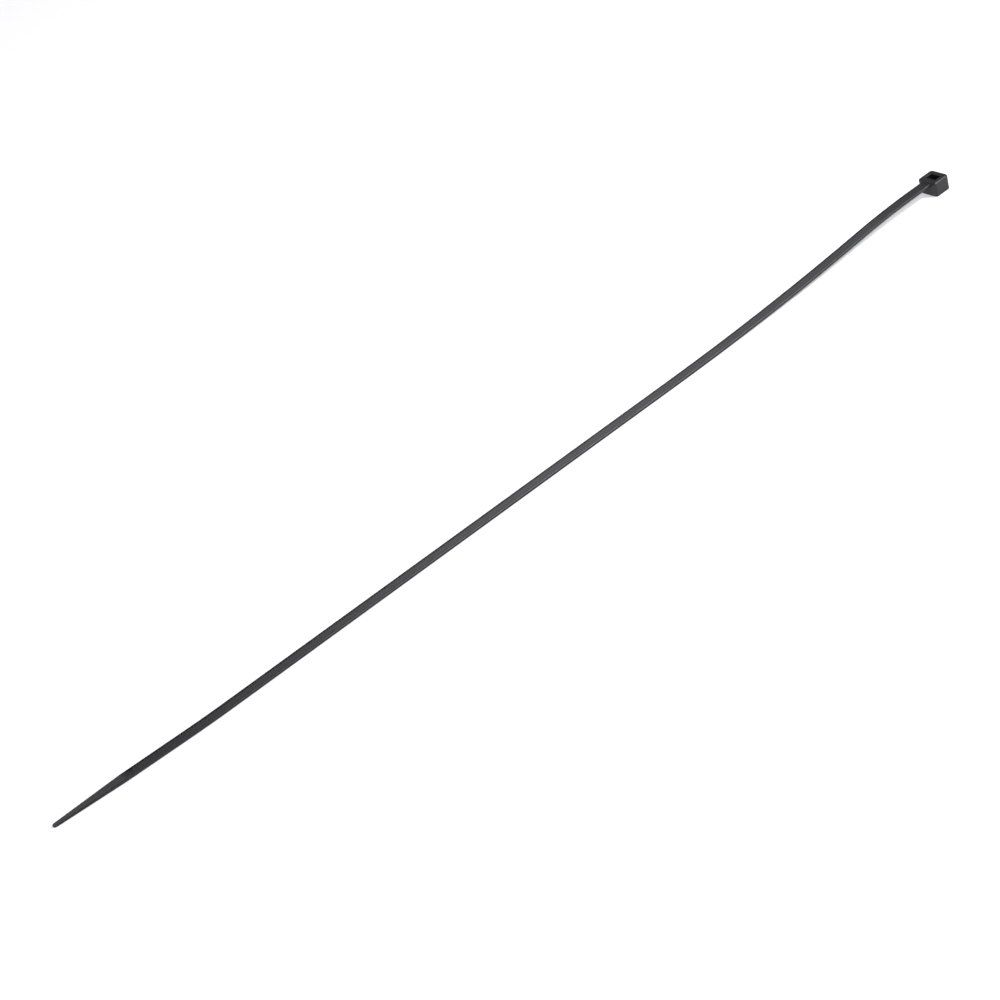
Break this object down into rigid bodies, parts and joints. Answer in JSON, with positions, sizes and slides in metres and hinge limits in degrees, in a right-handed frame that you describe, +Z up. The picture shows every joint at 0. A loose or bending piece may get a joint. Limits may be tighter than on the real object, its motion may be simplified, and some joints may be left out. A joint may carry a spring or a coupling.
{
  "type": "cable tie",
  "caption": "Long black nylon cable tie: a small square head with a pawl in its slot, a slim strap with fine teeth between two rails, and a smooth tapered tail.",
  "frame": {"origin": "on the axis of the head's slot, at the level of its exit face, which is the surface that the tie lies on", "axes": "+X runs from the head along the strap to the tip, +Z is up, out of the toothed face and the slot's entry, and Y is across the strap"},
  "size_m": [0.45, 0.0092, 0.0062],
  "materials": {
    "nylon": "moulded black nylon with a fine satin grain"
  },
  "bodies": {
    "root": {"cable_tie": "nylon"}
  },
  "joints": []
}
